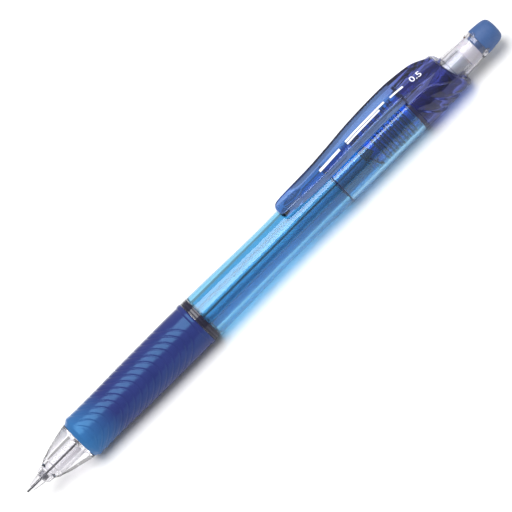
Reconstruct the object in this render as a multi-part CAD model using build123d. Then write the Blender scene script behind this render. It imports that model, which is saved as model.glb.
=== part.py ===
from build123d import *
import os
from math import cos, radians, sin

# Mechanical pencil for 0.5 mm lead, in millimetres, with a side clip and a soft grip.
# The pencil lies along X with its point towards -X and its clip up, +Z. Its pieces are drawn about the X axis
# by their station, the distance back from the end of the lead, and are moved to the row frame at the end.

# Driving dimensions: lengths along the pencil, from the point back.
lead_out = 1.35
nose_length = 15.05
grip_length = 37.5
ring_length = 1.7
barrel_length = 42.1
sleeve_length = 22.9
band_length = 1.0
cap_length = 13.8
button_out = 6.9
eraser_out = 5.3
seam = 0.1

# Driving dimensions: outer radii.
body_radius = 5.62
waist_depth = 0.45
bead_height = 0.2
grip_front_depth = 0.04
grip_dip_depth = 0.18
nose_end_depth = 0.63
cap_step = 0.04

# Lead and its store.
lead_radius = 0.25
lead_length = 60.0
spare_lead_count = 1
spare_lead_side = 47.0
tube_radius = 2.45
tube_wall = 0.45
tube_overlap = 3.8
spare_lead_setback = 14.0

# Clear nose, stations counted from its front end.
tip_front_radius = 0.8
tip_rear_radius = 1.32
tip_length = 3.25
collar_front_radius = 1.86
collar_rear_radius = 2.1
collar_length = 1.7
flare_radius = 2.97
flare_length = 2.0
nose_bore_front = 7.25
spigot_share = 0.3226
core_share = 0.3145

# Feed mechanism.
retainer_radius = 1.1
retainer_length = 1.5
step_bore_radius = 1.5
knock_travel = 4.0
chuck_setback = 0.5
jaw_room = 0.3
chuck_head_radius = 1.55
chuck_face_radius = 1.2
chuck_face_bevel = 0.7
chuck_cone_length = 2.4
chuck_neck_radius = 1.0
jaw_length = 8.1
jaw_arc = 113.0
jaw_gap = 0.05
stem_length = 10.0
stem_plug_length = 3.0
clutch_ring_wall = 0.8
clutch_ring_length = 2.6
clutch_ring_setback = 1.0
clutch_mouth = 1.0
clutch_wall = 0.3
clutch_hold = 3.2
spring_setback = 2.8
spring_wire = 0.3
spring_room = 0.7
spring_length = 11.0
spring_turns = 9
connector_length = 7.2
connector_plug_length = 4.0

# Threads and joints between the shells, drawn as plain cylinders.
thread_length = 9.0
barrel_wall = 1.27
barrel_shoulder = 1.5
sleeve_wall = 1.07
spigot_length = 10.8
spigot_step = 1.6
sleeve_step = 0.03

# Rear insert and its ribs.
insert_setback = 0.4
insert_room = 0.55
rib_pitch = 2.0
rib_width = 0.65
insert_share = 0.58
insert_plug_wall = 0.65
insert_plug_length = 3.5

# Cap, with the hood that carries the clip and the grooves round its sides.
rim_slope = 1.6
groove_slope = 4.2
groove_width = 0.45
groove_depth = 0.35
groove_places = (2.3, 6.3)
groove_reach = 0.7

# Clip: heights are counted from the cap's surface.
clip_length = 39.6
clip_thickness = 1.5
clip_tip_half_width = 2.3
clip_root_half_width = 3.4
clip_boss_length = 6.2
clip_boss_setback = 1.5
clip_root = 1.6

# Knock button and eraser.
button_radius = 3.69
button_rim_overlap = 0.09
button_neck_depth = 0.19
button_rim_length = 1.0
button_inside = 9.8
button_grip_length = 8.0
tab_count = 4
tab_radius = 0.65
tab_thickness = 0.1
holder_depth = 0.35
holder_length = 3.3
holder_plug_length = 5.5
eraser_radius = 3.37
eraser_taper = 0.75
eraser_dome = 0.25
holder_wall = 0.52
eraser_stem_length = 3.4

# Clearances.
running_gap = 0.06
seat_gap = 0.03
lead_gap = 0.01
tip_gap = 0.03
free_gap = 0.15
clip_gap = 0.1

# Stations along the pencil.
nose_front = lead_out
grip_front = nose_front + nose_length
grip_rear = grip_front + grip_length
ring_front = grip_rear + seam
ring_rear = ring_front + ring_length
barrel_front = ring_rear + seam
barrel_rear = barrel_front + barrel_length
sleeve_front = barrel_rear + seam
sleeve_rear = sleeve_front + sleeve_length
band_front = sleeve_rear
band_rear = band_front + band_length
cap_front = band_rear + seam
cap_rear = cap_front + cap_length
button_rear = cap_rear + button_out
overall_length = button_rear + eraser_out

# Radii that follow from the driving ones.
bead_radius = body_radius + bead_height
waist_radius = body_radius - waist_depth
cap_radius = body_radius - cap_step
barrel_bore_radius = waist_radius - barrel_wall
spigot_radius = body_radius - sleeve_wall
nose_bore_radius = chuck_head_radius + jaw_room
cone_fall = (chuck_head_radius - chuck_neck_radius) * clutch_ring_setback / chuck_cone_length
clutch_ring_bore = chuck_head_radius - cone_fall + seat_gap
clutch_ring_radius = clutch_ring_bore + clutch_ring_wall
spring_radius = chuck_neck_radius + spring_wire / 2 + spring_room
connector_radius = spring_radius + spring_wire / 2 + 0.25
clutch_bore_radius = connector_radius + running_gap
clutch_radius = max(clutch_bore_radius, tube_radius + free_gap) + clutch_wall
shell_room = body_radius - grip_dip_depth - clutch_radius - running_gap
thread_radius = clutch_radius + spigot_share * shell_room
core_radius = thread_radius + running_gap + core_share * shell_room
button_bore_radius = button_radius + running_gap
button_rim_radius = eraser_radius + button_rim_overlap
button_neck_radius = button_rim_radius - button_neck_depth
holder_radius = button_neck_radius - holder_depth
eraser_stem_radius = holder_radius - holder_wall
insert_bore_radius = tube_radius + insert_room
insert_core_radius = insert_bore_radius + insert_share * (spigot_radius - insert_bore_radius)
insert_plug_radius = button_bore_radius + insert_plug_wall
hood_half_width = clip_root_half_width + 0.1

# Stations inside.
chuck_front = grip_front - chuck_setback
chuck_root = chuck_front + jaw_length
stem_rear = chuck_root + stem_length
clutch_ring_front = chuck_front + chuck_face_bevel + clutch_ring_setback
clutch_ring_rear = clutch_ring_front + clutch_ring_length
clutch_front = clutch_ring_front + clutch_mouth
clutch_rear = barrel_front - thread_length + clutch_hold
spring_front = clutch_ring_rear + spring_setback
spring_rear = spring_front + spring_length
connector_front = spring_rear
connector_rear = connector_front + connector_length
clutch_narrow_rear = connector_rear - knock_travel - 1.0
insert_front = barrel_rear + spigot_length + insert_setback
button_front = cap_rear - button_inside
tube_rear = button_front + button_grip_length + tube_overlap
thread_front = barrel_front - thread_length
clip_pivot = cap_front + clip_root
clip_front = clip_pivot - clip_length

to_frame = Pos(-overall_length / 2, 0, bead_radius)


def turned(*corners):
    """The solid of revolution about the pencil's axis whose half section has these (station, radius) corners."""
    return revolve(make_face(Polyline(*corners, close=True)), Axis.X)


def turned_curve(curve, *corners):
    """As turned, with a smooth outer line first and then the corners that close the half section."""
    first = curve @ 0
    last = curve @ 1
    rest = Polyline((last.X, last.Y), *corners, (first.X, first.Y))
    return revolve(make_face(curve + rest), Axis.X)


def tube(front, rear, outer, inner):
    """A plain tube."""
    return turned((front, inner), (front, outer), (rear, outer), (rear, inner))


def rod(front, rear, radius):
    """A plain round bar."""
    return turned((front, 0), (front, radius), (rear, radius), (rear, 0))


def upright(*corners, half_width):
    """A slab between -half_width and +half_width across, cut to a side view of (station, height) corners."""
    side = make_face(Plane.XZ * Polyline(*corners, close=True))
    return extrude(side, half_width, both=True)


def lead():
    return rod(0, lead_length, lead_radius)


def spare_leads():
    """Loose leads that lie side by side in the tube, this many degrees up its side from the bottom."""
    tube_inner = tube_radius - tube_wall
    lie = tube_inner - lead_radius - lead_gap
    step = 2.4 * lead_radius / lie
    front = connector_rear + connector_plug_length + spare_lead_setback
    bar = rod(front, front + lead_length, lead_radius)
    middle = radians(spare_lead_side - 90)
    angles = [middle + step * (n - (spare_lead_count - 1) / 2) for n in range(spare_lead_count)]
    return Compound([Pos(0, lie * cos(a), lie * sin(a)) * bar for a in angles])


def nose_cone():
    """Clear nose and the core under the grip, in one moulding that screws onto the barrel."""
    tip_rear = nose_front + tip_length
    collar_front = tip_rear + 0.3
    collar_rear = collar_front + collar_length
    flare_rear = collar_rear + flare_length
    nose_end_radius = body_radius - nose_end_depth
    middle_station = flare_rear + (grip_front - flare_rear) * 0.42
    middle_radius = flare_radius + (nose_end_radius - flare_radius) * 0.52
    middle = (middle_station, middle_radius)
    ogive = Spline((flare_rear, flare_radius), middle, (grip_front, nose_end_radius))
    tip = Polyline(
        (nose_front, tip_front_radius),
        (tip_rear, tip_rear_radius),
        (collar_front, collar_front_radius),
        (collar_rear, collar_rear_radius),
        (flare_rear - 0.7, flare_radius - 0.1),
        (flare_rear, flare_radius),
    )
    pocket_front = tip_rear - 0.2
    pocket_rear = pocket_front + retainer_length + 2 * free_gap
    bore_front = nose_front + nose_bore_front
    cavity_front = chuck_front - 0.1
    cavity_radius = clutch_radius + free_gap
    inside = Polyline(
        (grip_front, nose_end_radius),
        (grip_front + 0.1, core_radius),
        (ring_rear - 0.1, core_radius),
        (ring_rear - 0.1, thread_radius + running_gap),
        (thread_front - 0.5, thread_radius + running_gap),
        (thread_front - 0.5, cavity_radius),
        (cavity_front + 1.2, cavity_radius),
        (cavity_front, nose_bore_radius),
        (bore_front, nose_bore_radius),
        (bore_front, step_bore_radius),
        (pocket_rear, step_bore_radius),
        (pocket_rear, retainer_radius + running_gap),
        (pocket_front, retainer_radius + running_gap),
        (pocket_front, lead_radius + tip_gap),
        (nose_front, lead_radius + tip_gap),
        (nose_front, tip_front_radius),
    )
    return revolve(make_face(tip + ogive + inside), Axis.X)


def lead_retainer():
    """Soft ring in the nose that keeps the lead from falling back while the chuck is open."""
    front = nose_front + tip_length - 0.2 + free_gap
    rear = front + retainer_length
    bore = lead_radius + lead_gap
    flare = retainer_radius * 0.55
    return turned(
        (front, bore), (front, retainer_radius), (rear, retainer_radius), (rear, flare), (rear - 0.6, bore)
    )


def rubber_grip():
    """Soft sleeve on the core, with a bevelled front end and a bead round its rear end."""
    front_radius = body_radius - grip_front_depth
    bead_start = grip_rear - 1.2
    line = Spline(
        (grip_front + 1.3, front_radius),
        (grip_front + grip_length * 0.2, body_radius - grip_dip_depth),
        (grip_front + grip_length * 0.52, body_radius - 0.02),
        (grip_front + grip_length * 0.86, body_radius + 0.06),
        (bead_start, body_radius - 0.01),
    )
    bead = ThreePointArc((bead_start, body_radius - 0.01), (grip_rear - 0.6, bead_radius), (grip_rear, body_radius))
    rest = Polyline(
        (grip_rear, body_radius),
        (grip_rear, core_radius),
        (grip_front + 0.1, core_radius),
        (grip_front + 0.1, body_radius - 0.75),
        (grip_front + 1.3, front_radius),
    )
    return revolve(make_face(line + bead + rest), Axis.X)


def coupling_ring():
    """Glossy ring between the grip and the barrel, with two fine grooves."""
    ring = tube(ring_front, ring_rear, body_radius + 0.04, core_radius)
    for share in (0.25, 0.75):
        middle = ring_front + ring_length * share
        ring -= tube(middle - 0.08, middle + 0.08, body_radius + 1, body_radius - 0.06)
    return ring


def chuck_stem():
    """Rear part of the brass chuck, from the roots of its jaws into the connector."""
    front = chuck_root + jaw_gap
    plug_rear = stem_rear + stem_plug_length
    return tube(front, plug_rear, chuck_neck_radius, lead_radius + 0.1)


def chuck_jaws():
    """Three jaws round the lead, with the cone that the clutch ring holds closed."""
    bore = lead_radius + lead_gap
    cone_front = chuck_front + chuck_face_bevel
    cone_rear = cone_front + chuck_cone_length
    section = Polyline(
        (chuck_front, bore),
        (chuck_front, chuck_face_radius),
        (cone_front, chuck_head_radius),
        (cone_rear, chuck_neck_radius),
        (chuck_root, chuck_neck_radius),
        (chuck_root, bore),
        close=True,
    )
    jaw = revolve(make_face(section), Axis.X, revolution_arc=jaw_arc)
    return [Rot(X=90 - jaw_arc / 2 + 120 * n) * jaw for n in range(3)]


def clutch_ring():
    """Brass ring that slides on the jaws' cone, with a chamfered mouth."""
    front = clutch_ring_front
    rear = clutch_ring_rear
    bore = clutch_ring_bore
    radius = clutch_ring_radius
    bevel = 0.25
    return turned(
        (front, bore + bevel), (front, radius - bevel), (front + bevel, radius), (rear, radius), (rear, bore),
        (front + bevel, bore),
    )


def clutch_sleeve():
    """Sleeve pressed into the barrel's spigot: its mouth seats the clutch ring, and it holds the spring."""
    mouth = clutch_ring_radius + running_gap
    seat = clutch_ring_rear + free_gap / 3
    neck_bore = chuck_neck_radius + 0.45
    tube_bore = tube_radius + free_gap
    return turned(
        (clutch_front, mouth), (clutch_front, clutch_radius), (clutch_rear, clutch_radius),
        (clutch_rear, tube_bore), (clutch_narrow_rear, tube_bore), (clutch_narrow_rear, clutch_bore_radius),
        (spring_front, clutch_bore_radius), (spring_front, neck_bore), (seat, neck_bore), (seat, mouth),
    )


def return_spring():
    """Coil spring between the clutch sleeve's shoulder and the connector."""
    ends = spring_wire + 0.04
    height = spring_length - ends
    start = spring_front + ends / 2
    line = Helix(pitch=height / spring_turns, height=height, radius=spring_radius, direction=(1, 0, 0))
    coil = sweep(Plane(origin=line @ 0, z_dir=line % 0) * Circle(spring_wire / 2), line, is_frenet=True)
    return Pos(start, 0, 0) * coil


def tube_connector():
    """Plug that joins the chuck's stem to the lead tube, with a funnel that finds the next lead."""
    stem_end = stem_rear + stem_plug_length
    bore = lead_radius + 0.1
    plug_radius = tube_radius - tube_wall
    plug_end = connector_rear + connector_plug_length
    return turned(
        (connector_front, chuck_neck_radius), (connector_front, connector_radius),
        (connector_rear, connector_radius), (connector_rear, plug_radius), (plug_end, plug_radius),
        (plug_end, plug_radius - 0.2), (stem_end + 3, bore), (stem_end, bore), (stem_end, chuck_neck_radius),
    )


def lead_tube():
    """Long tube for the spare leads, from the connector back into the knock button."""
    return tube(connector_rear, tube_rear, tube_radius, tube_radius - tube_wall)


def barrel_points():
    """The barrel's outline, which narrows to a waist."""
    return [
        (barrel_front, body_radius),
        (barrel_front + barrel_length * 0.25, body_radius - waist_depth * 0.5),
        (barrel_front + barrel_length * 0.52, waist_radius),
        (barrel_front + barrel_length * 0.8, body_radius - waist_depth * 0.7),
        (barrel_rear, body_radius),
    ]


def barrel():
    """Front barrel, with the thread for the nose in front and a spigot with a stepped end behind."""
    thread_rear = barrel_front + barrel_shoulder
    spigot_rear = barrel_rear + spigot_length
    shell = turned_curve(
        Spline(*barrel_points()),
        (barrel_rear, spigot_radius),
        (spigot_rear, spigot_radius),
        (spigot_rear, barrel_bore_radius),
        (thread_rear, barrel_bore_radius),
        (thread_rear, clutch_radius),
        (thread_front, clutch_radius),
        (thread_front, thread_radius),
        (barrel_front, thread_radius),
    )
    notch = Pos(spigot_rear - spigot_step / 2, -spigot_radius / 2, 0) * Box(
        spigot_step, spigot_radius, 2 * spigot_radius
    )
    return shell - notch


def rear_sleeve():
    """Plain sleeve between the barrel and the cap."""
    return tube(sleeve_front, sleeve_rear, body_radius + sleeve_step, spigot_radius)


def rear_insert():
    """Ribbed insert that joins the sleeve to the cap: its flange shows as the dark band between them."""
    front = insert_front
    plug_rear = band_rear + insert_plug_length
    insert = tube(front, band_front, insert_core_radius, insert_bore_radius)
    insert += tube(band_front, band_rear, cap_radius, insert_bore_radius)
    insert += tube(band_rear, plug_rear, insert_plug_radius, button_bore_radius)
    margin = 1.6
    for n in range(int((band_front - front - 2 * margin) / rib_pitch) + 1):
        middle = front + margin + rib_pitch * n
        insert += tube(middle - rib_width / 2, middle + rib_width / 2, spigot_radius, insert_bore_radius)
    return insert


def tilted_disc(station, slope, thickness):
    """A thin disc whose plane leans back away from the clip, crossing the axis at this station."""
    lean = Rot(Y=-Vector(cap_radius, 0, 0).get_angle(Vector(cap_radius, 0, slope)))
    return Pos(station, 0, 0) * lean * Rot(Y=90) * Cylinder(2 * cap_radius, thickness)


def clip_cap():
    """Cap with a leaning rear rim, leaning grooves in its sides and the hood that carries the clip."""
    top = clip_top_height(clip_pivot)
    shell = tube(cap_front, cap_rear + rim_slope, cap_radius, 0)
    shell = chamfer(shell.edges().group_by(Axis.X)[-1], 0.6)
    hood_length = cap_rear - clip_pivot
    hood = upright(
        (clip_pivot, 0),
        (clip_pivot, top),
        (clip_pivot + hood_length * 0.36, top - 0.9),
        (clip_pivot + hood_length * 0.69, top - 2.0),
        (cap_rear - 1.5, cap_radius - 0.6),
        (cap_rear - 1.0, 0),
        half_width=hood_half_width,
    )
    cap = shell + hood
    cap -= Pos(cap_rear + rim_slope, 0, 0) * tilted_block()
    outer = tube(cap_front - 1, cap_rear + 9, 2 * cap_radius, cap_radius - groove_depth)
    sides = Box(4 * cap_length, 4 * cap_radius, 2 * groove_reach * cap_radius)
    for place in groove_places:
        groove = tilted_disc(cap_front + place, groove_slope, groove_width)
        cap -= groove & outer & Pos(cap_front, 0, 0) * sides
    cap -= tube(cap_front - 1, band_rear + insert_plug_length, insert_plug_radius, 0)
    cap -= tube(cap_front - 1, cap_rear + 9, button_bore_radius, 0)
    knuckle = Pos(clip_pivot, 0, top - clip_thickness / 2) * Rot(X=90)
    cap -= knuckle * Cylinder(clip_thickness / 2 + running_gap, 4 * hood_half_width)
    return cap


def tilted_block():
    """The space behind the cap's leaning rear rim."""
    lean = Rot(Y=-Vector(cap_radius, 0, 0).get_angle(Vector(cap_radius, 0, rim_slope)))
    return lean * Pos(cap_length / 2, 0, 0) * Box(cap_length, 6 * cap_radius, 6 * cap_radius)


def clip_top_height(station):
    """Height of the clip's top over the axis: a long low arch that dips to the tip."""
    share = (station - clip_front) / clip_length
    rises = [(0.0, 1.5), (0.28, 1.46), (0.45, 1.92), (0.8, 2.8), (1.0, 2.3)]
    for (start, low), (end, high) in zip(rises, rises[1:]):
        if start <= share <= end:
            return cap_radius + low + (high - low) * (share - start) / (end - start)
    return cap_radius + rises[-1][1]


def barrel_radius_at(station):
    """Radius of the barrel at a station, or of the sleeve behind it."""
    points = barrel_points()
    for (start, low), (end, high) in zip(points, points[1:]):
        if start <= station <= end:
            return low + (high - low) * (station - start) / (end - start)
    return body_radius + sleeve_step


def clip():
    """Springy clip with a boss under its tip that rests on the barrel, and a round root in the cap's hood."""
    root_top = clip_top_height(clip_pivot)
    middle = root_top - clip_thickness / 2
    shares = (0.14, 0.28, 0.45, 0.62, 0.8, 0.92)
    stations = [clip_front + clip_length * share for share in shares]
    top = [(s, clip_top_height(s)) for s in stations]
    boss_front = clip_front + clip_boss_setback
    boss_rear = boss_front + clip_boss_length
    rest = max(barrel_radius_at(boss_front), barrel_radius_at(boss_rear)) + clip_gap
    under = [(s, clip_top_height(s) - clip_thickness) for s in reversed(stations) if s > boss_rear + 2.5]
    under = [(s, max(height, barrel_radius_at(s) + 2 * clip_gap)) for s, height in under]
    blade = upright(
        (clip_front, rest + 0.75),
        (clip_front + 0.9, clip_top_height(clip_front + 0.9)),
        *top,
        (clip_pivot, root_top),
        (clip_pivot, root_top - clip_thickness),
        *under,
        (boss_rear + 0.8, rest + 0.35),
        (boss_rear - 0.6, rest),
        (boss_front + 0.6, rest),
        (clip_front + 0.5, rest + 0.35),
        half_width=2 * clip_root_half_width,
    )
    plan = Polyline(
        (clip_front - 1, -clip_tip_half_width),
        (clip_front + clip_length * 0.8, -clip_root_half_width),
        (clip_pivot + clip_thickness, -clip_root_half_width),
        (clip_pivot + clip_thickness, clip_root_half_width),
        (clip_front + clip_length * 0.8, clip_root_half_width),
        (clip_front - 1, clip_tip_half_width),
        close=True,
    )
    knuckle = Pos(clip_pivot, 0, middle) * Rot(X=90) * Cylinder(clip_thickness / 2, 2 * clip_root_half_width)
    outline = extrude(make_face(plan), 4 * cap_radius)
    blade = (blade + knuckle) & outline
    tip_round = Pos(clip_front + clip_tip_half_width, 0, 0) * Cylinder(clip_tip_half_width, 6 * cap_radius)
    tip_square = Pos(clip_front + clip_tip_half_width / 2 - 1, 0, 0) * Box(
        clip_tip_half_width + 2, 6 * cap_radius, 6 * cap_radius
    )
    return blade - (tip_square - tip_round)


def knock_button():
    """Clear button round the lead tube's rear end, with small round tabs that hold the eraser."""
    rim_front = button_rear - button_rim_length
    grip_end = button_front + button_grip_length
    bore = holder_radius + running_gap
    button = turned(
        (button_front, tube_radius), (button_front, button_radius), (cap_rear + 0.4, button_radius),
        (cap_rear + 1.1, button_radius - 0.17), (rim_front - 0.7, button_neck_radius),
        (rim_front, button_rim_radius), (button_rear, button_rim_radius), (button_rear, bore),
        (grip_end, bore), (grip_end, tube_radius),
    )
    tab_inner = eraser_radius + running_gap
    band = tube(button_rear - button_rim_length / 2, button_rear + 1, tab_inner + tab_thickness, tab_inner)
    for n in range(tab_count):
        turn = Rot(X=8 + 360 / tab_count * n)
        disc = turn * Pos(button_rear, 0, button_rim_radius) * Cylinder(tab_radius, 2 * tab_radius)
        button += band & disc
    return button


def eraser_holder():
    """White cup that holds the eraser and plugs the lead tube's rear end."""
    rear = button_rear - 1.3
    front = rear - holder_length
    plug_front = tube_rear - holder_plug_length
    plug_radius = tube_radius - tube_wall - running_gap
    stem_front = button_rear - eraser_stem_length
    return turned(
        (plug_front, 0), (plug_front, plug_radius), (front, plug_radius), (front, holder_radius),
        (rear, holder_radius), (rear, eraser_stem_radius), (stem_front, eraser_stem_radius), (stem_front, 0),
    )


def eraser():
    """Round eraser with a slightly domed end and a stem in the holder."""
    front = button_rear + free_gap / 3
    shoulder = overall_length - 1.9
    side = Polyline((front, eraser_radius), (shoulder, eraser_radius - 0.25))
    end = Spline(
        (shoulder, eraser_radius - 0.25),
        (overall_length - eraser_dome * 2, eraser_radius - eraser_taper),
        (overall_length, 0),
        tangents=((1, -0.15), (0, -1)),
    )
    rest = Polyline(
        (overall_length, 0),
        (button_rear - eraser_stem_length, 0),
        (button_rear - eraser_stem_length, eraser_stem_radius),
        (front, eraser_stem_radius),
        (front, eraser_radius),
    )
    return revolve(make_face(side + end + rest), Axis.X)


pieces = {
    "lead": lead(),
    "spare_leads": spare_leads(),
    "nose_cone": nose_cone(),
    "lead_retainer": lead_retainer(),
    "rubber_grip": rubber_grip(),
    "coupling_ring": coupling_ring(),
    "chuck_stem": chuck_stem(),
    "clutch_ring": clutch_ring(),
    "clutch_sleeve": clutch_sleeve(),
    "return_spring": return_spring(),
    "tube_connector": tube_connector(),
    "lead_tube": lead_tube(),
    "barrel": barrel(),
    "rear_sleeve": rear_sleeve(),
    "rear_insert": rear_insert(),
    "clip_cap": clip_cap(),
    "clip": clip(),
    "knock_button": knock_button(),
    "eraser_holder": eraser_holder(),
    "eraser": eraser(),
}
for number, jaw in enumerate(chuck_jaws(), start=1):
    pieces[f"chuck_jaw_{number}"] = jaw

os.makedirs("parts", exist_ok=True)
for name, piece in pieces.items():
    export_step(to_frame * piece, f"parts/{name}.step")
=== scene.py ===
from math import cos, pi, radians, sin, sqrt

import bmesh
import bpy
from mathutils import Matrix, Vector


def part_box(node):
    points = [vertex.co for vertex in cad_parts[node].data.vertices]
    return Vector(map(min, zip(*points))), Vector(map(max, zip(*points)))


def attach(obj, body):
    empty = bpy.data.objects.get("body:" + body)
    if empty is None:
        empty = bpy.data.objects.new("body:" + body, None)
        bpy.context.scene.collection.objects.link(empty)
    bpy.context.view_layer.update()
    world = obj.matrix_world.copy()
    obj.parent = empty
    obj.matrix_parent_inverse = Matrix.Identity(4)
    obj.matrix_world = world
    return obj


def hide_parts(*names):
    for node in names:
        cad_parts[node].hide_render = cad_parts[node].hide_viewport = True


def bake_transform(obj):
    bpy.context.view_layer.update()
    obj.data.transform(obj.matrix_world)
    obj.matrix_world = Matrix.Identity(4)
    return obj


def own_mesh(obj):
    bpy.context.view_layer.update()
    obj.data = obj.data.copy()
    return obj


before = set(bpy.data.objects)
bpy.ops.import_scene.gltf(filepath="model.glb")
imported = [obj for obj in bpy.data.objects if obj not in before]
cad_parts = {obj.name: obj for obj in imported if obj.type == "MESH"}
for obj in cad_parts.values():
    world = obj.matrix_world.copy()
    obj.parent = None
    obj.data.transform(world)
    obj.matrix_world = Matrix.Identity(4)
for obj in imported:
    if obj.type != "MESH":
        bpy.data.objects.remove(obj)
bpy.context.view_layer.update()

# A mechanical pencil that lies along X with its clip up. Every piece is drawn in millimetres by its station,
# the distance back from the lead's point, its radius about the pencil's axis, and its angle round that axis,
# counted from the clip towards -Y. Stations and radii come from the CAD nodes' boxes.

MM = 0.001
POINT_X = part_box("lead")[0].x
AXIS_Z = (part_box("barrel")[0].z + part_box("barrel")[1].z) / 2
ROUND = 96


def span(node):
    """(first station, last station, outer radius) of a CAD node, in millimetres."""
    low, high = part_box(node)
    return (low.x - POINT_X) / MM, (high.x - POINT_X) / MM, (high.y - low.y) / 2 / MM


def at(station, radius, angle):
    """The point at a station, radius and angle, in metres."""
    return Vector((POINT_X + station * MM, -radius * sin(angle) * MM, AXIS_Z + radius * cos(angle) * MM))


def smooth(low, high, value):
    """0 below low, 1 above high, with an even rise between them."""
    share = min(max((value - low) / (high - low), 0.0), 1.0)
    return share * share * (3 - 2 * share)


def curve_through(points, value):
    """Height of a smooth curve through (place, height) points that keeps between its neighbours."""
    if value <= points[0][0]:
        return points[0][1]
    slopes = []
    for (a, p), (b, q) in zip(points, points[1:]):
        slopes.append((q - p) / (b - a))
    tangents = [slopes[0]]
    for left, right in zip(slopes, slopes[1:]):
        tangents.append(0.0 if left * right <= 0 else 2 * left * right / (left + right))
    tangents.append(slopes[-1])
    for n, ((a, p), (b, q)) in enumerate(zip(points, points[1:])):
        if value <= b:
            size = b - a
            t = (value - a) / size
            rise = p + t * size * tangents[n]
            bend = 3 * (q - p) - size * (2 * tangents[n] + tangents[n + 1])
            turn = 2 * (p - q) + size * (tangents[n] + tangents[n + 1])
            return rise + bend * t * t + turn * t**3
    return points[-1][1]


# ---------------------------------------------------------------- mesh makers


def finish_mesh(name, bm, sharp=None):
    """A smooth-shaded object from a bmesh, with edges that turn by more than sharp degrees kept crisp."""
    bmesh.ops.remove_doubles(bm, verts=bm.verts, dist=1e-8)
    bmesh.ops.recalc_face_normals(bm, faces=bm.faces)
    for face in bm.faces:
        face.smooth = True
    if sharp is not None:
        for edge in bm.edges:
            if len(edge.link_faces) == 2 and edge.calc_face_angle(0) > radians(sharp):
                edge.smooth = False
    mesh = bpy.data.meshes.new(name)
    bm.to_mesh(mesh)
    bm.free()
    piece = bpy.data.objects.new(name, mesh)
    bpy.context.scene.collection.objects.link(piece)
    return piece


def softened(corners, size):
    """A closed outline with its corners rounded by arcs, and a point each side that keeps the flats flat."""
    result = []
    for n, corner in enumerate(corners):
        before = Vector(corners[n - 1])
        here = Vector(corner)
        after = Vector(corners[(n + 1) % len(corners)])
        back, forward = before - here, after - here
        if here.y < 1e-6 or back.length < 1e-6 or forward.length < 1e-6 or back.angle(forward) > radians(165):
            result.append(tuple(here))
            continue
        reach = min(size, 0.3 * back.length, 0.3 * forward.length)
        start, end = here + back.normalized() * reach, here + forward.normalized() * reach
        result.append(tuple(start + back.normalized() * reach * 0.25))
        for t in (0.0, 0.2, 0.4, 0.6, 0.8, 1.0):
            result.append(tuple(start * (1 - t) ** 2 + here * 2 * t * (1 - t) + end * t**2))
        result.append(tuple(end + forward.normalized() * reach * 0.25))
    return result


def turned(name, outline, soft=0.06, shift=None, around=ROUND):
    """A closed solid of revolution. shift gives a point's new station from its station and angle."""
    outline = softened(outline, soft) if soft else outline
    bm = bmesh.new()
    rings = []
    for k in range(around):
        angle = 2 * pi * k / around
        ring = []
        for station, radius in outline:
            moved = shift(station, angle) if shift else station
            ring.append(bm.verts.new(at(moved, radius, angle)))
        rings.append(ring)
    count = len(outline)
    for k in range(around):
        one, two = rings[k], rings[(k + 1) % around]
        for n in range(count):
            m = (n + 1) % count
            if outline[n][1] < 1e-6 and outline[m][1] < 1e-6:
                continue
            bm.faces.new((one[n], one[m], two[m], two[n]))
    bmesh.ops.remove_doubles(bm, verts=bm.verts, dist=1e-8)
    return finish_mesh(name, bm)


def tube_outline(front, rear, outer, inner):
    return [(front, inner), (front, outer), (rear, outer), (rear, inner)]


def joined(name, objects):
    """Several objects as one mesh."""
    bm = bmesh.new()
    for piece in objects:
        bm.from_mesh(piece.data)
        bpy.data.objects.remove(piece)
    return finish_mesh(name, bm)


def dress(piece, material, body, slot, *nodes):
    """Gives a piece its material and body, and hides the CAD nodes that it stands for. The record slot is not
    used.
    """
    piece.data.materials.clear()
    piece.data.materials.append(material)
    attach(piece, body)
    if nodes:
        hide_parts(*nodes)
    return piece


# ---------------------------------------------------------------- materials


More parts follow.
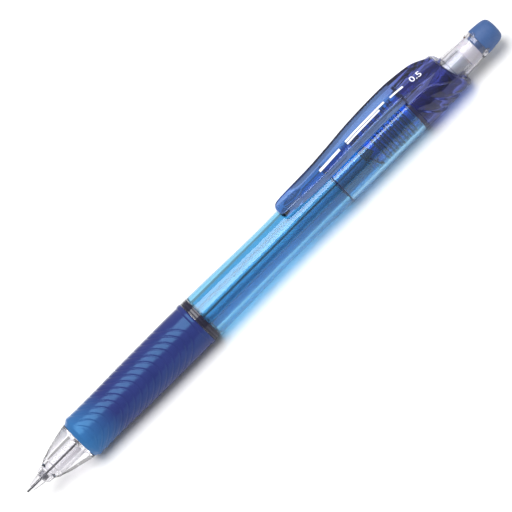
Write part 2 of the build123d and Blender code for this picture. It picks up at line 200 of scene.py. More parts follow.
class Shader:
    """A material's node tree with a Principled shader, and short ways to add what drives it."""

    def __init__(self, name):
        self.material = bpy.data.materials.new(name)
        self.material.use_nodes = True
        self.nodes = self.material.node_tree.nodes
        self.links = self.material.node_tree.links
        self.main = self.nodes["Principled BSDF"]
        self.output = self.nodes["Material Output"]
        self.place = self.nodes.new("ShaderNodeTexCoord").outputs["Object"]

    def set(self, **values):
        for key, value in values.items():
            self.main.inputs[key.replace("_", " ")].default_value = value

    def noise(self, scale, detail=3.0, stretch=None):
        """A noise value over the object's own coordinates, in cycles per metre."""
        node = self.nodes.new("ShaderNodeTexNoise")
        node.inputs["Scale"].default_value = scale
        node.inputs["Detail"].default_value = detail
        place = self.place
        if stretch:
            mapping = self.nodes.new("ShaderNodeMapping")
            mapping.inputs["Scale"].default_value = stretch
            self.links.new(place, mapping.inputs["Vector"])
            place = mapping.outputs["Vector"]
        self.links.new(place, node.inputs["Vector"])
        return node.outputs["Fac"]

    def ramp(self, value, low, high, to_low, to_high):
        """value mapped from low..high onto to_low..to_high, and held within them."""
        node = self.nodes.new("ShaderNodeMapRange")
        for key, number in zip(("From Min", "From Max", "To Min", "To Max"), (low, high, to_low, to_high)):
            node.inputs[key].default_value = number
        self.links.new(value, node.inputs["Value"])
        return node.outputs["Result"]

    def mix(self, factor, one, two):
        """Two colours mixed by a factor."""
        node = self.nodes.new("ShaderNodeMix")
        node.data_type = "RGBA"
        self.links.new(factor, node.inputs["Factor"])
        node.inputs["A"].default_value = (*one, 1)
        node.inputs["B"].default_value = (*two, 1)
        return node.outputs["Result"]

    def along(self, socket, start, end, colour):
        """A colour socket that turns into another colour between two stations."""
        split = self.nodes.new("ShaderNodeSeparateXYZ")
        self.links.new(self.place, split.inputs["Vector"])
        node = self.nodes.new("ShaderNodeMix")
        node.data_type = "RGBA"
        share = self.ramp(split.outputs["X"], POINT_X + start * MM, POINT_X + end * MM, 0, 1)
        self.links.new(share, node.inputs["Factor"])
        self.links.new(socket, node.inputs["A"])
        node.inputs["B"].default_value = (*colour, 1)
        return node.outputs["Result"]

    def colour(self, socket):
        self.links.new(socket, self.main.inputs["Base Color"])

    def roughness(self, socket):
        self.links.new(socket, self.main.inputs["Roughness"])

    def bump(self, value, height, distance):
        node = self.nodes.new("ShaderNodeBump")
        node.inputs["Strength"].default_value = height
        node.inputs["Distance"].default_value = distance
        self.links.new(value, node.inputs["Height"])
        self.links.new(node.outputs["Normal"], self.main.inputs["Normal"])

    def let_lamps_through(self, tint):
        """Makes the shadow of a see-through piece a tinted one."""
        path = self.nodes.new("ShaderNodeLightPath")
        clear = self.nodes.new("ShaderNodeBsdfTransparent")
        clear.inputs["Color"].default_value = (*tint, 1)
        mixer = self.nodes.new("ShaderNodeMixShader")
        self.links.new(path.outputs["Is Shadow Ray"], mixer.inputs["Fac"])
        self.links.new(self.main.outputs["BSDF"], mixer.inputs[1])
        self.links.new(clear.outputs["BSDF"], mixer.inputs[2])
        self.links.new(mixer.outputs["Shader"], self.output.inputs["Surface"])


def see_through(name, one, two, ior=1.5, rough=(0.0, 0.015), deeper=None, shade=1.0):
    """Polished see-through plastic: faint flow marks in its tint, and fine wear in its polish.

    deeper is (station, station, colour): the tint deepens to this colour between the two stations.
    shade is how much of a lamp's light each surface lets on, besides its tint.
    """
    s = Shader(name)
    s.set(Transmission_Weight=1.0, IOR=ior)
    tint = s.mix(s.ramp(s.noise(900, 4, (0.15, 1, 1)), 0.35, 0.65, 0, 1), one, two)
    if deeper:
        start, end, colour = deeper
        tint = s.along(tint, start, end, colour)
    s.colour(tint)
    s.roughness(s.ramp(s.noise(500, 6), 0.45, 0.75, *rough))
    s.bump(s.noise(300, 1, (0.2, 1, 1)), 0.02, 0.00003)
    s.let_lamps_through([shade * sqrt(share) for share in one])
    return s.material


def moulded(name, one, two, rough=(0.12, 0.3), sheen=0.0, coat=0.0, scatter=0.0, grain=(5200, 0.15, 0.00002)):
    """Moulded plastic or rubber: mottled colour, uneven gloss and a fine grain."""
    s = Shader(name)
    s.set(IOR=1.5, Sheen_Weight=sheen, Coat_Weight=coat, Coat_Roughness=0.08)
    if scatter:
        s.set(Subsurface_Weight=scatter, Subsurface_Radius=(0.2, 0.5, 1.0), Subsurface_Scale=0.0008)
    s.colour(s.mix(s.ramp(s.noise(700, 5), 0.3, 0.7, 0, 1), one, two))
    s.roughness(s.ramp(s.noise(2400, 6), 0.35, 0.7, *rough))
    s.bump(s.noise(grain[0], 4), grain[1], grain[2])
    return s.material


def turned_metal(name, one, two, rough=(0.15, 0.35)):
    """Metal with fine rings from the lathe."""
    s = Shader(name)
    s.set(Metallic=1.0)
    s.colour(s.mix(s.ramp(s.noise(1500, 5), 0.3, 0.7, 0, 1), one, two))
    s.roughness(s.ramp(s.noise(9000, 3, (1, 0.02, 0.02)), 0.3, 0.7, *rough))
    s.bump(s.noise(12000, 2, (1, 0.02, 0.02)), 0.2, 0.00001)
    return s.material


def grip_material():
    """Soft translucent rubber, deep blue; towards its front end, over the clear core, the colour turns pale
    blue, as painted light for the glow that shines through the thin rubber from the core.
    """
    s = Shader("grip_rubber")
    s.set(IOR=1.45, Specular_Tint=(0.25, 0.65, 1.0, 1.0))
    deep = s.mix(s.ramp(s.noise(260, 4), 0.3, 0.7, 0, 1), (0.020, 0.024, 0.13), (0.025, 0.030, 0.15))
    # Painted light: pale blue towards the front end, for light that shines through the rubber from the clear
    # core under it.
    s.colour(s.along(deep, 27.0, 17.0, (0.03, 0.13, 0.33)))
    s.roughness(s.ramp(s.noise(2400, 6), 0.35, 0.7, 0.15, 0.25))
    s.bump(s.noise(5200, 4), 0.12, 0.00002)
    return s.material


RUBBER = grip_material()
CLEAR = see_through("clear_plastic", (0.80, 0.79, 0.82), (0.85, 0.84, 0.87), 1.49, shade=0.72)
BARREL = see_through("barrel_plastic", (0.20, 0.53, 0.76), (0.23, 0.57, 0.79), shade=0.80)
SLEEVE = see_through("sleeve_plastic", (0.38, 0.72, 0.96), (0.42, 0.76, 0.98), shade=0.85)
CAP = see_through(
    "cap_plastic", (0.12, 0.23, 0.54), (0.14, 0.26, 0.58), deeper=(118.0, 124.0, (0.09, 0.11, 0.40)))
INSERT = see_through("insert_plastic", (0.22, 0.36, 0.88), (0.26, 0.40, 0.92), shade=0.85)
TUBE = see_through("tube_plastic", (0.82, 0.86, 0.90), (0.86, 0.89, 0.92), 1.45, (0.1, 0.16))
RING = moulded("ring_plastic", (0.008, 0.007, 0.022), (0.012, 0.010, 0.030), (0.06, 0.15))
# Dark plastic of the band in front of the cap and of the seam; also painted shade, as dark rings along the
# edges of the clear ribs and teeth.
DARK_BAND_AND_EDGE_SHADE = moulded("band_plastic_and_edge_shade", (0.008, 0.009, 0.04), (0.011, 0.012, 0.05), (0.1, 0.2))
WHITE = moulded("white_plastic", (0.62, 0.61, 0.65), (0.68, 0.67, 0.71), (0.35, 0.5), scatter=0.2)
ERASER = moulded("eraser_rubber", (0.028, 0.080, 0.23), (0.034, 0.092, 0.25), (0.5, 0.7), 0.05)
GRAPHITE = moulded("lead", (0.06, 0.06, 0.07), (0.10, 0.10, 0.11), (0.3, 0.5))
RETAINER = moulded("retainer", (0.10, 0.10, 0.12), (0.15, 0.15, 0.17), (0.4, 0.6))
BRASS = turned_metal("brass", (0.75, 0.55, 0.25), (0.82, 0.62, 0.31))
STEEL = turned_metal("spring_steel", (0.55, 0.55, 0.57), (0.68, 0.68, 0.70))
PRINT = moulded("print", (0.88, 0.88, 0.90), (0.93, 0.93, 0.95), (0.3, 0.45))


# ---------------------------------------------------------------- stations and radii from the frame

LEAD_FRONT, LEAD_REAR, LEAD_R = span("lead")
NOSE_FRONT, _, NOSE_R = span("nose_cone")
GRIP_FRONT, GRIP_REAR, BEAD_R = span("rubber_grip")
RING_FRONT, RING_REAR, RING_R = span("coupling_ring")
THREAD_FRONT, SPIGOT_REAR, BODY_R = span("barrel")
SLEEVE_FRONT, SLEEVE_REAR, SLEEVE_R = span("rear_sleeve")
INSERT_FRONT, PLUG_REAR, CAP_R = span("rear_insert")
CAP_FRONT, CAP_REAR, _ = span("clip_cap")
CLIP_FRONT, _, _ = span("clip")
BUTTON_FRONT, _, BUTTON_R = span("knock_button")
ERASER_FRONT, ERASER_REAR, ERASER_R = span("eraser")
BUTTON_REAR_RIM = ERASER_REAR - 5.3
HOLDER_FRONT, HOLDER_REAR, HOLDER_R = span("eraser_holder")
TUBE_FRONT, TUBE_REAR, TUBE_R = span("lead_tube")
RETAINER_FRONT, RETAINER_REAR, RETAINER_R = span("lead_retainer")
BARREL_FRONT = RING_REAR + 0.1
BARREL_REAR = SLEEVE_FRONT - 0.1
BAND_FRONT = SLEEVE_REAR
BAND_REAR = CAP_FRONT - 0.1
CORE_R = BEAD_R - 1.28
BARREL_BORE = 3.9
SPIGOT_R = 4.53
SLEEVE_BORE = 4.56
BUTTON_ROOM = BUTTON_R + 0.06
BUTTON_RIM_R = 3.46
HOLDER_BORE = HOLDER_R + 0.05
RIB_WIDTH = 0.65
RIB_PITCH = 2.0
WAIST = [
    (BARREL_FRONT, BODY_R), (58.7, 5.57), (66.1, 5.40), (70.6, 5.29), (77.6, 5.17), (85.6, 5.23),
    (89.7, 5.30), (95.0, 5.52), (BARREL_REAR, BODY_R),
]


def nose():
    """Clear nose: a stepped tip and collar, then a long ogive, hollow inside, and the core under the grip."""
    tip_rear = NOSE_FRONT + 3.25
    collar = tip_rear + 0.3
    flare = collar + 1.7
    ogive_front = flare + 2.0
    end = GRIP_FRONT - 0.1
    outside = [
        (NOSE_FRONT, 0.80), (NOSE_FRONT + 0.9, 0.95), (NOSE_FRONT + 1.6, 1.10), (tip_rear, 1.32),
        (collar, 1.86), (collar + 0.9, 1.98), (flare, 2.10), (flare + 0.6, 2.42), (flare + 1.2, 2.80),
        (ogive_front, 2.97),
    ]
    ogive = [(ogive_front, 2.97), (10.3, 3.58), (13.0, 4.25), (15.0, 4.70), (end, NOSE_R)]
    steps = 14
    for n in range(1, steps + 1):
        station = ogive_front + (end - ogive_front) * n / steps
        outside.append((station, curve_through(ogive, station)))
    hole = LEAD_R + 0.03
    inside = [
        (GRIP_FRONT + 0.05, CORE_R), (RING_REAR - 0.1, CORE_R), (RING_REAR - 0.1, 3.8),
        (THREAD_FRONT - 0.5, 3.8), (THREAD_FRONT - 0.5, 3.1), (17.0, 3.1), (15.8, 1.88), (8.6, 1.85),
        (8.5, 1.50), (RETAINER_REAR + 0.2, 1.45), (RETAINER_REAR + 0.15, 1.18), (RETAINER_FRONT - 0.15, 1.16),
        (RETAINER_FRONT - 0.15, hole), (NOSE_FRONT, hole),
    ]
    piece = turned("nose", outside + inside, 0.07)
    dress(piece, CLEAR, "front", "clear_plastic", "nose_cone")


def grip():
    """Rubber sleeve with curved ripples cut across it, a bevelled front end and a bead at its rear."""
    front = GRIP_FRONT
    bead = GRIP_REAR - 0.6
    line = [
        (front, BODY_R - 0.77), (front + 0.5, BODY_R - 0.45), (front + 1.3, BODY_R - 0.04),
        (front + 2.0, BODY_R - 0.1), (front + 4.6, BODY_R - 0.18), (front + 10.6, BODY_R - 0.17),
        (front + 13.6, BODY_R - 0.1), (front + 18.0, BODY_R - 0.03), (front + 26.0, BODY_R + 0.03),
        (front + 32.3, BODY_R + 0.06), (front + 35.8, BODY_R - 0.01),
    ]

    def surface(station):
        if station < bead - 0.6:
            return curve_through(line, station)
        return BODY_R - 0.01 + 0.21 * sqrt(max(0.0, 1 - ((station - bead) / 0.62) ** 2))

    pitch, count, first = 2.02, 16, 20.4
    reach, facing = 2.8, radians(53)

    def ripple(station, angle):
        """Depth of the grooves, which bow back where they face the writer's fingers."""
        turn = angle - facing
        apex = station + reach * (1 - cos(2 * turn))
        place = (apex - first) / pitch
        if place < -0.5 or place > count - 0.5:
            return 0.0
        off = (place - round(place)) * pitch
        side = abs(sin(turn))
        fade = 1 - 0.4 * smooth(0.75, 1.0, side)
        ends = smooth(front + 1.6, front + 2.6, station) * (1 - smooth(bead - 2.2, bead - 1.2, station))
        return 0.10 * fade * ends * max(0.0, 1 - (off / 0.36) ** 2) ** 1.5

    def thumb_arc(station, angle):
        """The broad arc that opens the pattern near the front."""
        turn = angle - facing
        if abs(turn) > radians(70):
            return 0.0
        off = station - (first - 1.3 - 1.6 * (1 - cos(1.6 * turn)))
        return 0.06 * max(0.0, 1 - (off / 0.5) ** 2)

    rows, around = 430, 224
    bm = bmesh.new()
    grid = []
    for n in range(rows + 1):
        station = front + 0.02 + (GRIP_REAR - front - 0.02) * n / rows
        ring = []
        for k in range(around):
            angle = 2 * pi * k / around
            radius = surface(station) - max(ripple(station, angle), thumb_arc(station, angle))
            ring.append(bm.verts.new(at(station, radius, angle)))
        grid.append(ring)
    for station in (GRIP_REAR, (front + GRIP_REAR) / 2, front + 0.1):
        grid.append([bm.verts.new(at(station, CORE_R, 2 * pi * k / around)) for k in range(around)])
    for one, two in zip(grid, grid[1:] + grid[:1]):
        for k in range(around):
            m = (k + 1) % around
            bm.faces.new((one[k], two[k], two[m], one[m]))
    piece = finish_mesh("grip", bm, 50)
    dress(piece, RUBBER, "front", "grip_rubber", "rubber_grip")


def ring():
    """Glossy ring between grip and barrel, with two fine grooves."""
    outline = [(RING_FRONT, CORE_R), (RING_FRONT, RING_R)]
    for share in (0.27, 0.73):
        middle = RING_FRONT + (RING_REAR - RING_FRONT) * share
        outline += [(middle - 0.12, RING_R), (middle - 0.05, RING_R - 0.12)]
        outline += [(middle + 0.05, RING_R - 0.12), (middle + 0.12, RING_R)]
    outline += [(RING_REAR, RING_R), (RING_REAR, CORE_R)]
    dress(turned("ring", outline, 0.05), RING, "front", "ring_plastic", "coupling_ring")


def teeth(station, angle):
    """Moves the end of the barrel's spigot into six saw teeth."""
    if station < SPIGOT_REAR - 0.5:
        return station
    tooth, height = radians(60), 2.1
    share = ((angle - radians(60)) % tooth) / tooth
    return station - height * (1 - share)


def barrel():
    """Front barrel with a long waist. Its spigot ends in saw teeth that show through the sleeve behind it."""
    outside = []
    steps = 30
    for n in range(steps + 1):
        station = BARREL_FRONT + (BARREL_REAR - BARREL_FRONT) * n / steps
        outside.append((station, curve_through(WAIST, station)))
    shoulder = BARREL_FRONT + 0.25
    inside = [
        (BARREL_REAR + 0.02, SPIGOT_R), (SPIGOT_REAR, SPIGOT_R),
        (SPIGOT_REAR, BARREL_BORE), (shoulder, BARREL_BORE),
        (shoulder, 2.92), (THREAD_FRONT, 2.92), (THREAD_FRONT, 3.7), (BARREL_FRONT, 3.7),
    ]
    piece = turned("barrel_shell", outside + inside, 0.08, teeth)
    dress(piece, BARREL, "barrel", "barrel_plastic", "barrel")


def sleeve():
    """Plain clear sleeve over the barrel's spigot."""
    outline = tube_outline(SLEEVE_FRONT, SLEEVE_REAR, SLEEVE_R, SLEEVE_BORE)
    dress(turned("sleeve", outline, 0.08), SLEEVE, "barrel", "barrel_plastic", "rear_sleeve")


def rib_middles():
    """Stations of the middles of the insert's ribs."""
    result = []
    middle = INSERT_FRONT + 1.6
    while middle < BAND_FRONT - 1.2:
        result.append(middle)
        middle += RIB_PITCH
    return result


def insert():
    """Ribbed insert inside the sleeve, and its plug behind the dark band in front of the cap; the band
    itself, the insert's flange, is drawn with the dark joints.
    """
    bore, core, rib = 3.05, 3.85, 4.5
    outline = [(INSERT_FRONT - 3, bore), (INSERT_FRONT - 3, core)]
    for middle in rib_middles():
        outline += [(middle - RIB_WIDTH / 2, core), (middle - RIB_WIDTH / 2, rib), (middle - 0.1, rib)]
        outline += [(middle - 0.1, core + 0.2), (middle + 0.1, core + 0.2)]
        outline += [(middle + 0.1, rib), (middle + RIB_WIDTH / 2, rib), (middle + RIB_WIDTH / 2, core)]
    outline += [(BAND_FRONT - 0.02, core), (BAND_FRONT - 0.02, bore)]
    plug = turned("plug", tube_outline(BAND_REAR + 0.01, PLUG_REAR, 4.4, BUTTON_ROOM), 0.05)
    piece = joined("insert", [turned("insert_core", outline, 0.04), plug])
    dress(piece, INSERT, "barrel", "insert_plastic", "rear_insert")


def dark_joints_and_edge_shade():
    """The dark band in front of the cap and the dark seam behind the barrel; the dark rings beside the
    insert's ribs and behind the spigot's teeth are painted shade, for the dark edges of these clear parts
    that show through the sleeve.
    """
    band = tube_outline(BAND_FRONT, BAND_REAR, CAP_R, BUTTON_ROOM)
    seam = tube_outline(BARREL_REAR - 0.06, SLEEVE_FRONT + 0.06, SLEEVE_R + 0.01, 4.6)
    rings = [turned("band", band, 0.05), turned("seam", seam, 0)]
    # Painted shade: a dark ring each side of every clear rib, for the dark edge that the rib shows.
    for middle in rib_middles():
        for edge in (middle - RIB_WIDTH / 2 - 0.16, middle + RIB_WIDTH / 2 + 0.16):
            rings.append(turned("rib_edge_shade", tube_outline(edge - 0.13, edge + 0.13, 4.52, 3.9), 0))
    # Painted shade: a dark ring that follows the spigot's saw teeth, for the dark edge that they show.
    rings.append(turned("teeth", tube_outline(SPIGOT_REAR + 0.01, SPIGOT_REAR + 0.31, 4.5, 3.95), 0, teeth))
    dress(joined("dark_joints_and_edge_shade", rings), DARK_BAND_AND_EDGE_SHADE, "barrel", "insert_plastic")


# ---------------------------------------------------------------- cap and clip

CLIP_TOP = [
    (CLIP_FRONT, 7.1), (87.0, 7.35), (95.0, 7.32), (102.0, 7.70), (109.0, 8.20), (116.0, 8.34), (120.0, 8.25),
    (123.3, 7.90), (128.0, 7.15), (130.7, 6.45), (132.0, 5.95), (CAP_REAR, 5.0),
]
CLIP_HALF = [
    (CLIP_FRONT, 2.35), (88.0, 2.6), (95.0, 2.85), (102.0, 3.1), (109.0, 3.4), (116.0, 3.62), (124.0, 3.75),
    (128.0, 3.65), (132.4, 2.6),
]
CROWN = 0.2


def cap_radius(station, angle):
    """Outer radius of the cap: shingled sides behind leaning grooves, and the hood above them."""
    lean = cos(angle)
    outline = [(CAP_FRONT, CAP_R), (126.0, CAP_R + 0.03), (131.0, 5.5), (133.0, 5.3), (136.2, 4.7)]
    body = curve_through(outline, station)
    side = smooth(radians(50), radians(75), angle) * (1 - 0.35 * smooth(radians(150), pi, angle))
    for start in (124.3, 128.3):
        behind = station - (start - 4.19 * lean)
        if behind > -0.25:
            body -= side * 0.42 * (smooth(-0.25, 0.15, behind) * (1 - smooth(0.1, 2.2, behind)))
    edge = hood_edge(station)
    if angle < edge:
        top = curve_through(CLIP_TOP, station) - 0.12 * (1 - smooth(128.0, 132.0, station))
        rim = body + 0.30 * smooth(122.0, 127.0, station)
        top = body + (top - body) * smooth(122.0, 129.0, station)
        share = angle / edge
        body = max(body, rim + (top - rim) * max(0.0, 1 - share**2.6) ** 0.8)
    return body


def hood_edge(station):
    """Angle from the clip at which the hood's raised band ends; it wraps the cap's neck at the rear."""
    edge = [(122.0, 27), (128.0, 42), (129.8, 56), (132.0, 74), (133.6, 104), (134.9, 150), (135.3, 181)]
    return radians(curve_through(edge, station))


def rim_station(angle):
    return 134.4 - 1.6 * cos(angle)


def cap_solid():
    """The cap as a closed shell, from its front face to the leaning rear rim, with its bore."""
    rows, around = 120, 240
    bm = bmesh.new()
    grid = []
    bore = BUTTON_R + 0.08
    for n in range(rows + 1):
        ring = []
        for k in range(around):
            angle = 2 * pi * k / around
            from_clip = min(angle, 2 * pi - angle)
            station = CAP_FRONT + (rim_station(from_clip) - CAP_FRONT) * n / rows
            radius = cap_radius(station, from_clip)
            left = rim_station(from_clip) - station
            radius -= 0.35 * (1 - smooth(0.0, 0.5, left))
            ring.append(bm.verts.new(at(station, radius, angle)))
        grid.append(ring)
    rings = [(1.0, 4.35), (1.0, bore), (0.5, bore)]
    for share, radius in rings:
        ring = []
        for k in range(around):
            angle = 2 * pi * k / around
            from_clip = min(angle, 2 * pi - angle)
            station = CAP_FRONT + (rim_station(from_clip) - CAP_FRONT) * share
            ring.append(bm.verts.new(at(station, radius, angle)))
        grid.append(ring)
    for station, radius in [(PLUG_REAR, bore), (PLUG_REAR, 4.42), (CAP_FRONT, 4.42)]:
        grid.append([bm.verts.new(at(station, radius, 2 * pi * k / around)) for k in range(around)])
    for one, two in zip(grid, grid[1:] + grid[:1]):
        for k in range(around):
            m = (k + 1) % around
            bm.faces.new((one[k], two[k], two[m], one[m]))
    return finish_mesh("cap", bm, 40)


def clip_half(station):
    """Half width of the clip, with its rounded tip and its taper into the hood."""
    half = curve_through(CLIP_HALF, station)
    blunt = 1.9
    reach = (station - CLIP_FRONT) / blunt
    if reach < 1:
        half *= max(0.05, 1 - (1 - reach) ** 2.6) ** (1 / 2.6)
    return half


def barrel_line(station):
    """Outer radius of the barrel, or of the sleeve behind it."""
    return curve_through(WAIST, station) if station < BARREL_REAR else SLEEVE_R


def clip_solid():
    """The clip: a long arched bar with rounded edges, its root sunk in the hood."""
    rows, corner, across_steps = 190, 7, 12
    rear = 132.4
    bm = bmesh.new()
    grid = []
    for n in range(rows + 1):
        share = n / rows
        station = CLIP_FRONT + (rear - CLIP_FRONT) * (share + 0.12 * (share**2 - share))
        half, top = clip_half(station), curve_through(CLIP_TOP, station)
        end = station - CLIP_FRONT
        tip = sqrt(max(0.0, 1 - max(0.0, 1 - end / 1.1) ** 2))
        rim = 0.3 + 0.7 * tip
        thick = 1.5
        skirt = 0.65 * smooth(1.5, 9.0, end)
        low = top - thick - skirt
        top -= 0.55 * (1 - tip)
        soft = min(0.4, 0.5 * half) + 0.8 * smooth(127.0, 132.0, station)
        crown = CROWN * rim
        ring = []
        for n_top in range(across_steps + 1):
            across = (half - soft) * (2 * n_top / across_steps - 1)
            ring.append((across, top - crown * (across / half) ** 2))
        for c in range(1, corner + 1):
            a = radians(90 * c / corner)
            drop = crown * ((half - soft) / half) ** 2
            ring.append((half - soft + soft * sin(a), top - drop - soft * (1 - cos(a))))
        for n_under in range(across_steps + 1):
            across = half * (1 - 2 * n_under / across_steps)
            arch = low + skirt * (1 - (across / half) ** 2)
            clear = sqrt(max(0.0, (barrel_line(station) + 0.12) ** 2 - across**2))
            height = max(arch, clear) if station < 119 else arch
            if station > 121.5:
                height = min(height, 4.9)
            ring.append((across, min(height, top - 0.5 * soft)))
        for c in range(corner, 0, -1):
            a = radians(90 * c / corner)
            drop = crown * ((half - soft) / half) ** 2
            ring.append((-half + soft - soft * sin(a), top - drop - soft * (1 - cos(a))))
        grid.append([
            bm.verts.new(Vector((POINT_X + station * MM, y * MM, AXIS_Z + z * MM))) for y, z in ring
        ])
    size = len(grid[0])
    for one, two in zip(grid, grid[1:]):
        for k in range(size):
            m = (k + 1) % size
            bm.faces.new((one[k], two[k], two[m], one[m]))
    bm.faces.new(grid[0])
    bm.faces.new(list(reversed(grid[-1])))
    return finish_mesh("clip_bar", bm, 60)


def boss_solid():
    """Oval boss under the clip's tip that stands just clear of the barrel."""
    bm = bmesh.new()
    bmesh.ops.create_uvsphere(bm, u_segments=48, v_segments=24, radius=1.0)
    front, rear = CLIP_FRONT + 1.4, CLIP_FRONT + 7.7
    lowest = 5.45
    highest = 6.9
    for v in bm.verts:
        x, y, z = v.co
        v.co = Vector((
            POINT_X + ((front + rear) / 2 + x * (rear - front) / 2) * MM,
            y * 1.55 * MM,
            AXIS_Z + ((lowest + highest) / 2 + z * (highest - lowest) / 2) * MM,
        ))
    return finish_mesh("boss", bm)


def unite(base, other):
    """Joins another solid onto base and removes it."""
    cut = base.modifiers.new("join", "BOOLEAN")
    cut.operation = "UNION"
    cut.solver = "EXACT"
    cut.object = other
    bpy.context.view_layer.update()
    made = bpy.data.meshes.new_from_object(base.evaluated_get(bpy.context.evaluated_depsgraph_get()))
    base.modifiers.clear()
    base.data = made
    bpy.data.objects.remove(other)
    return base


def cap_and_clip():
    """Cap and clip in one moulding; the clip bends up where it leaves the hood."""
    piece = unite(unite(cap_solid(), clip_solid()), boss_solid())
    piece.name = "cap_and_clip"
    bm = bmesh.new()
    bm.from_mesh(piece.data)
    bpy.data.objects.remove(piece)
    piece = finish_mesh("cap_and_clip", bm, 40)
    piece.data.materials.append(CAP)
    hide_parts("clip_cap", "clip")
    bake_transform(piece)


def on_clip(station, across, lift):
    """A point over the clip's top face, lift millimetres above it."""
    top = curve_through(CLIP_TOP, station) - CROWN * (across / clip_half(station)) ** 2
    return Vector((POINT_X + station * MM, across * MM, AXIS_Z + (top + lift) * MM))


def bar(front, rear, low, high):
    """A thin printed bar that follows the clip's top face."""
    bm = bmesh.new()
    rows, columns = 24, 6
    sheets = []
    for lift in (0.025, -0.03):
        sheet = []
        for n in range(rows + 1):
            station = front + (rear - front) * n / rows
            places = [low + (high - low) * k / columns for k in range(columns + 1)]
            sheet.append([bm.verts.new(on_clip(station, place, lift)) for place in places])
        sheets.append(sheet)
    for sheet in sheets:
        for one, two in zip(sheet, sheet[1:]):
            for k in range(columns):
                bm.faces.new((one[k], one[k + 1], two[k + 1], two[k]))
    top, under = sheets
    for n in range(rows):
        for k in (0, columns):
            bm.faces.new((top[n][k], top[n + 1][k], under[n + 1][k], under[n][k]))
    for n in (0, rows):
        for k in range(columns):
            bm.faces.new((top[n][k], top[n][k + 1], under[n][k + 1], under[n][k]))
    return finish_mesh("bar", bm)


def lead_size(front, low, height):
    """The lead size in plain figures, laid on the clip's top face."""
    words = bpy.data.curves.new("size", "FONT")
    words.body = "0.5"
    words.size = 1.0
    words.extrude = 0.02
    words.resolution_u = 4
    source = bpy.data.objects.new("size", words)
    bpy.context.scene.collection.objects.link(source)
    bpy.context.view_layer.update()
    mesh = bpy.data.meshes.new_from_object(source.evaluated_get(bpy.context.evaluated_depsgraph_get()))
    bpy.data.objects.remove(source)
    bm = bmesh.new()
    bm.from_mesh(mesh)
    for v in bm.verts:
        along, up, thick = v.co
        v.co = on_clip(front + along * height * 1.35, low + up * height * 1.35, 0.02 + thick)
    return finish_mesh("figures", bm, 30)


def marks():
    """Plain white bars and the lead size on the clip."""
    places = [
        (97.0, 103.6, -1.45, -0.65), (105.6, 118.0, -1.15, -0.55),
        (105.6, 116.0, -1.95, -1.4), (119.6, 123.4, -1.45, -0.9),
    ]
    parts = [bar(*place) for place in places]
    parts.append(lead_size(125.4, -2.0, 1.9))
    piece = joined("clip_marks", parts)
    piece.data.materials.append(PRINT)
    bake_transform(piece)


# ---------------------------------------------------------------- button, eraser and what shows inside


def button():
    """Clear knock button with a rim, and four small round tabs that stand over the eraser."""
    rim = BUTTON_REAR_RIM - 1.0
    grip_end = BUTTON_FRONT + 8.0
    outline = [
        (BUTTON_FRONT, TUBE_R + 0.01), (BUTTON_FRONT, BUTTON_R),
        (CAP_REAR - 1.2, BUTTON_R), (CAP_REAR - 0.5, 3.53),
        (138.7, 3.44), (rim - 0.7, 3.27), (rim - 0.1, 3.42),
        (rim, BUTTON_RIM_R), (BUTTON_REAR_RIM, BUTTON_RIM_R),
        (BUTTON_REAR_RIM, HOLDER_BORE), (grip_end, HOLDER_BORE), (grip_end, TUBE_R + 0.01),
    ]
    parts = [turned("button_shell", outline, 0.08)]
    for n in range(4):
        parts.append(tab(radians(8 + 90 * n)))
    dress(joined("button", parts), CLEAR, "plunger", "clear_plastic", "knock_button")


def tab(turn):
    """A small domed tab on the button's rim."""
    bm = bmesh.new()
    bmesh.ops.create_uvsphere(bm, u_segments=24, v_segments=12, radius=1.0)
    half, height = 0.66, 0.07
    for v in bm.verts:
        x, y, z = v.co
        station = BUTTON_REAR_RIM + 0.05 + half * x
        v.co = at(station, BUTTON_RIM_R + height * z, turn + y * half / BUTTON_RIM_R)
    return finish_mesh("tab", bm)


def holder():
    """White cup that carries the eraser, with its plug in the lead tube."""
    outline = [
        (HOLDER_FRONT, 0.0), (HOLDER_FRONT, 1.93), (HOLDER_REAR - 3.3, 1.93), (HOLDER_REAR - 3.3, HOLDER_R),
        (HOLDER_REAR, HOLDER_R), (HOLDER_REAR, 2.42), (ERASER_FRONT, 2.42), (ERASER_FRONT, 0.0),
    ]
    dress(turned("holder", outline, 0.06), WHITE, "eraser", "white_plastic", "eraser_holder")


def eraser():
    """Round eraser with a slight taper and a rounded, faintly domed end."""
    front = BUTTON_REAR_RIM + 0.05
    end = [
        (143.5, ERASER_R), (144.8, 3.28), (145.5, 3.22), (146.2, 3.11),
        (146.9, 2.95), (147.4, 2.68), (147.75, 2.25), (147.92, 1.5),
    ]
    outline = [(ERASER_FRONT, 0.0), (ERASER_FRONT, 2.40), (front, 2.40), (front, ERASER_R)]
    outline += end + [(ERASER_REAR, 0.0)]
    dress(turned("eraser_body", outline, 0.08), ERASER, "eraser", "eraser_rubber", "eraser")


def lead_tube():
    outline = tube_outline(TUBE_FRONT, TUBE_REAR, TUBE_R, TUBE_R - 0.45)
    dress(turned("tube", outline, 0.05), TUBE, "plunger", "tube_plastic", "lead_tube")


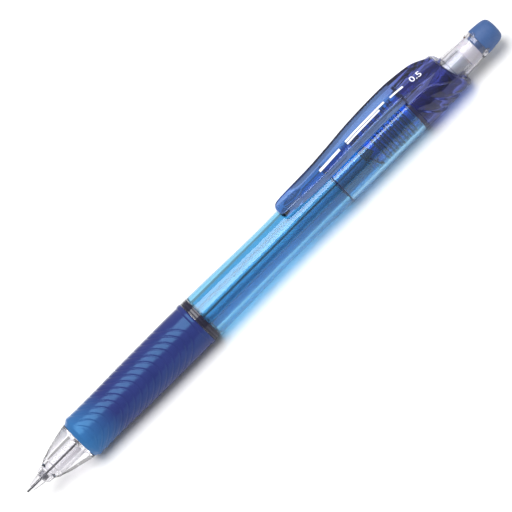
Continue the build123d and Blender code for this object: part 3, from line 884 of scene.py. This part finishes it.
def inner_parts():
    """Small pieces that keep their CAD shape or only need smoother turning."""
    tip = [
        (LEAD_FRONT, 0.0), (LEAD_FRONT + 0.02, 0.17), (LEAD_FRONT + 0.18, LEAD_R),
        (LEAD_REAR, LEAD_R), (LEAD_REAR, 0.0),
    ]
    dress(turned("lead_rod", tip, 0.02, around=32), GRAPHITE, "lead", "lead", "lead")
    ring_outline = [
        (RETAINER_FRONT, LEAD_R + 0.01), (RETAINER_FRONT, RETAINER_R), (RETAINER_REAR, RETAINER_R),
        (RETAINER_REAR, RETAINER_R * 0.55), (RETAINER_REAR - 0.6, LEAD_R + 0.01),
    ]
    piece = turned("retainer_ring", ring_outline, 0.05, around=48)
    dress(piece, RETAINER, "front_guide", "retainer", "lead_retainer")
    finishes = {
        "spare_leads": GRAPHITE, "chuck_stem": BRASS, "clutch_ring": BRASS, "clutch_sleeve": WHITE,
        "tube_connector": WHITE, "chuck_jaw_1": BRASS, "chuck_jaw_2": BRASS, "chuck_jaw_3": BRASS,
    }
    for node, material in finishes.items():
        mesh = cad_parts[node].data
        mesh.materials.clear()
        mesh.materials.append(material)


def spring():
    """Coil spring of round wire, wound about the pencil's axis."""
    front, rear, radius = span("return_spring")
    wire, turns, sides, steps = 0.15, 9, 10, 40
    bm = bmesh.new()
    rings = []
    for n in range(turns * steps + 1):
        turn = 2 * pi * n / steps
        station = front + wire + (rear - front - 2 * wire) * n / (turns * steps)
        ring = []
        for k in range(sides):
            a = 2 * pi * k / sides
            ring.append(bm.verts.new(at(station + wire * sin(a), radius - wire + wire * cos(a), turn)))
        rings.append(ring)
    for one, two in zip(rings, rings[1:]):
        for k in range(sides):
            m = (k + 1) % sides
            bm.faces.new((one[k], one[m], two[m], two[k]))
    bm.faces.new(rings[0])
    bm.faces.new(list(reversed(rings[-1])))
    piece = dress(finish_mesh("spring_coil", bm), STEEL, "barrel", "spring_steel", "return_spring")
    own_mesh(piece)


# ---------------------------------------------------------------- stage, light and camera


def stage():
    """Plain pale floor, a soft light overhead, and a surround that lights the pencil less from low down.

    The surround is plain white where the camera sees it directly.
    """
    bm = bmesh.new()
    bmesh.ops.create_grid(bm, x_segments=1, y_segments=1, size=3.0)
    floor = finish_mesh("floor", bm)
    grain = (900, 0.05, 0.00002)
    paper = moulded("floor_paper", (0.86, 0.86, 0.86), (0.88, 0.88, 0.88), (0.8, 0.9), grain=grain)
    floor.data.materials.append(paper)
    floor.location.z = -0.00002

    lamp = bpy.data.lights.new("softbox", "AREA")
    lamp.shape = "RECTANGLE"
    lamp.size, lamp.size_y = 0.36, 0.52
    lamp.energy = 3.4
    box = bpy.data.objects.new("softbox", lamp)
    box.location = (0, -0.06, 0.55)
    bpy.context.scene.collection.objects.link(box)

    world = bpy.data.worlds.new("surround")
    world.use_nodes = True
    bpy.context.scene.world = world
    nodes, links = world.node_tree.nodes, world.node_tree.links
    back = nodes["Background"]
    back.inputs["Color"].default_value = (1, 1, 1, 1)
    heading = nodes.new("ShaderNodeTexCoord")
    split = nodes.new("ShaderNodeSeparateXYZ")
    rise = nodes.new("ShaderNodeMapRange")
    limits = {"From Min": 0.0, "From Max": 0.9, "To Min": 0.45, "To Max": 0.75}
    for key, number in limits.items():
        rise.inputs[key].default_value = number
    path = nodes.new("ShaderNodeLightPath")
    seen = nodes.new("ShaderNodeMath")
    seen.operation = "MAXIMUM"
    links.new(heading.outputs["Generated"], split.inputs["Vector"])
    links.new(split.outputs["Z"], rise.inputs["Value"])
    links.new(rise.outputs["Result"], seen.inputs[0])
    links.new(path.outputs["Is Camera Ray"], seen.inputs[1])
    links.new(seen.outputs["Value"], back.inputs["Strength"])


def camera():
    """Looks at the pencil from the side, 43 degrees up, rolled so that the pencil runs up to the right."""
    elevation, roll = radians(43), radians(44.91)
    distance, seen_width = 0.8, 0.1148
    aside, above = -1.16, 0.69
    data = bpy.data.cameras.new("camera")
    data.sensor_width = 36.0
    data.lens = data.sensor_width * distance / seen_width
    cam = bpy.data.objects.new("camera", data)
    bpy.context.scene.collection.objects.link(cam)
    back = Vector((0, -cos(elevation), sin(elevation)))
    level_up = Vector((0, sin(elevation), cos(elevation)))
    along = Vector((1, 0, 0))
    right = along * cos(roll) - level_up * sin(roll)
    up = along * sin(roll) + level_up * cos(roll)
    middle = Vector((0, 0, AXIS_Z))
    target = middle + right * aside * MM + up * above * MM
    turn = Matrix((right, up, back)).transposed().to_4x4()
    cam.matrix_world = Matrix.Translation(target + back * distance) @ turn
    bpy.context.scene.camera = cam
    bpy.context.scene.view_settings.view_transform = "Standard"


nose()
grip()
ring()
barrel()
sleeve()
insert()
dark_joints_and_edge_shade()
cap_and_clip()
marks()
button()
holder()
eraser()
lead_tube()
inner_parts()
spring()
stage()
camera()
